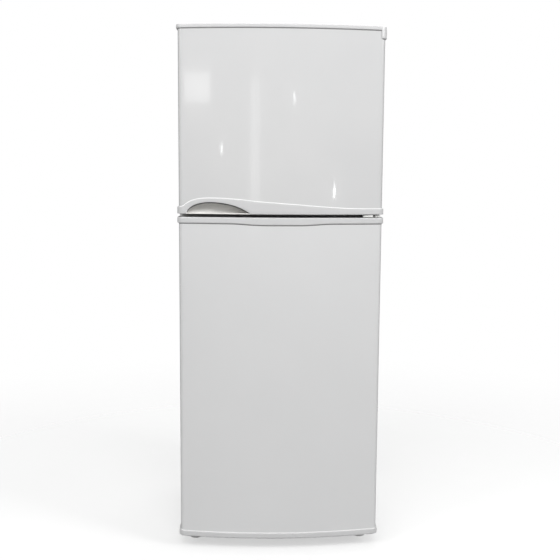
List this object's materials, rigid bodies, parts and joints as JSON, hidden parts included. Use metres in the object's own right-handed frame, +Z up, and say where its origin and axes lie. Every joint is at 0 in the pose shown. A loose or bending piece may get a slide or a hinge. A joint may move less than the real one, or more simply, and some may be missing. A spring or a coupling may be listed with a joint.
{
  "type": "top freezer refrigerator",
  "caption": "Upright household refrigerator with a small freezer compartment behind its own bowed door above a tall refrigerator door, both hinged on the right.",
  "frame": {"origin": "on the floor under the middle of the refrigerator's bounding box", "axes": "+Z up, the doors face -Y, +X to the right of someone facing the doors, which is the hinge side"},
  "size_m": [0.6, 0.65, 1.54],
  "materials": {
    "white_painted_steel": "gloss",
    "white_cap_plastic": "satin",
    "grip_cup_plastic": "matte",
    "liner_plastic": "satin",
    "insulation": "matte",
    "gasket_rubber": "matte",
    "clear_plastic": "clear",
    "shelf_glass": "clear",
    "zinc_steel": "zinc plated",
    "black_enamel": "semi-gloss",
    "dark_plastic": "matte",
    "evaporator_aluminium": "mill"
  },
  "bodies": {
    "cabinet": {"side_panel_left": "white_painted_steel", "side_panel_right": "white_painted_steel", "top_panel": "white_painted_steel", "rear_panel": "zinc_steel", "bottom_deck": "zinc_steel", "insulation_foam": "insulation", "freezer_liner": "liner_plastic", "fridge_liner": "liner_plastic", "mullion_rail": "white_painted_steel", "front_rail": "zinc_steel", "kick_plate": "dark_plastic", "compressor_tray": "zinc_steel", "top_hinge": "zinc_steel", "top_hinge_cover": "white_cap_plastic", "middle_hinge": "white_painted_steel", "bottom_hinge": "zinc_steel", "condenser": "black_enamel", "compressor": "black_enamel", "relay_cover": "dark_plastic", "drip_tray": "dark_plastic", "evaporator": "evaporator_aluminium", "fan_motor": "zinc_steel", "freezer_back_cover": "liner_plastic", "freezer_shelf": "shelf_glass", "ice_tray_frame": "liner_plastic", "control_box": "liner_plastic", "lamp_cover": "clear_plastic", "shelf_upper": "shelf_glass", "shelf_lower": "shelf_glass", "crisper_cover": "shelf_glass"},
    "freezer_door": {"freezer_door_skin": "white_painted_steel", "freezer_door_top_cap": "white_cap_plastic", "freezer_door_bottom_cap": "white_cap_plastic", "freezer_grip_cup": "grip_cup_plastic", "freezer_door_foam": "insulation", "freezer_door_liner": "liner_plastic", "freezer_door_gasket": "gasket_rubber", "freezer_rack_upper": "clear_plastic", "freezer_rack_lower": "clear_plastic"},
    "fridge_door": {"fridge_door_skin": "white_painted_steel", "fridge_door_top_cap": "white_cap_plastic", "fridge_door_bottom_cap": "white_cap_plastic", "fridge_door_foam": "insulation", "fridge_door_liner": "liner_plastic", "fridge_door_gasket": "gasket_rubber", "dairy_rack": "clear_plastic", "egg_rack": "clear_plastic", "bottle_rack": "clear_plastic"},
    "dairy_flap": {"dairy_flap": "clear_plastic"},
    "crisper_drawer": {"crisper_drawer": "clear_plastic"},
    "chill_tray": {"chill_tray": "clear_plastic"},
    "light_switch": {"light_switch": "liner_plastic"},
    "thermostat_knob": {"thermostat_knob": "white_cap_plastic"},
    "air_slider": {"air_slider": "dark_plastic"},
    "ice_tray": {"ice_tray": "clear_plastic"},
    "evaporator_fan": {"evaporator_fan": "dark_plastic"},
    "foot_left": {"foot_left": "dark_plastic"},
    "foot_right": {"foot_right": "dark_plastic"},
    "roller_left": {"roller_left": "dark_plastic"},
    "roller_right": {"roller_right": "dark_plastic"}
  },
  "joints": [
    {"name": "freezer_door_hinge", "type": "hinge", "parent": "cabinet", "child": "freezer_door", "pos_m": [0.281, -0.268, 1.2735], "axis": [0, 0, 1], "range_deg": [0, 120]},
    {"name": "fridge_door_hinge", "type": "hinge", "parent": "cabinet", "child": "fridge_door", "pos_m": [0.281, -0.268, 0.518], "axis": [0, 0, 1], "range_deg": [0, 120]},
    {"name": "crisper_slide", "type": "slide", "parent": "cabinet", "child": "crisper_drawer", "axis": [0, -1, 0], "range_m": [0, 0.19]},
    {"name": "chill_tray_slide", "type": "slide", "parent": "cabinet", "child": "chill_tray", "axis": [0, -1, 0], "range_m": [0, 0.19]},
    {"name": "light_switch_plunger", "type": "slide", "parent": "cabinet", "child": "light_switch", "axis": [0, -1, 0], "range_m": [0, 0.006]},
    {"name": "dairy_flap_hinge", "type": "hinge", "parent": "fridge_door", "child": "dairy_flap", "pos_m": [0.1087, -0.158, 0.915], "axis": [1, 0, 0], "range_deg": [0, 80]},
    {"name": "thermostat_knob_turn", "type": "hinge", "parent": "cabinet", "child": "thermostat_knob", "pos_m": [0.06, -0.187, 0.949], "axis": [0, 1, 0], "range_deg": [-135, 135]},
    {"name": "air_slider_slide", "type": "slide", "parent": "cabinet", "child": "air_slider", "axis": [1, 0, 0], "range_m": [-0.023, 0.023]},
    {"name": "ice_tray_twist", "type": "hinge", "parent": "cabinet", "child": "ice_tray", "pos_m": [-0.147, -0.012, 1.326], "axis": [0, 1, 0], "range_deg": [0, 150], "stiffness_Nm_per_rad": 0.3},
    {"name": "evaporator_fan_spin", "type": "hinge", "parent": "cabinet", "child": "evaporator_fan", "pos_m": [0, 0.17, 1.385], "axis": [0, 1, 0], "continuous": true},
    {"name": "foot_left_screw", "type": "hinge", "parent": "cabinet", "child": "foot_left", "pos_m": [-0.255, -0.205, 0.02], "axis": [0, 0, 1], "continuous": true},
    {"name": "foot_right_screw", "type": "hinge", "parent": "cabinet", "child": "foot_right", "pos_m": [0.255, -0.205, 0.02], "axis": [0, 0, 1], "continuous": true},
    {"name": "roller_left_roll", "type": "hinge", "parent": "cabinet", "child": "roller_left", "pos_m": [-0.252, 0.262, 0.015], "axis": [1, 0, 0], "continuous": true},
    {"name": "roller_right_roll", "type": "hinge", "parent": "cabinet", "child": "roller_right", "pos_m": [0.252, 0.262, 0.015], "axis": [1, 0, 0], "continuous": true}
  ],
  "couplings": [
    {"joint": "crisper_slide", "follows": "fridge_door_hinge", "m_per_rad": 0.0907},
    {"joint": "chill_tray_slide", "follows": "fridge_door_hinge", "m_per_rad": 0.0907},
    {"joint": "light_switch_plunger", "follows": "fridge_door_hinge", "m_per_rad": 0.00286}
  ]
}
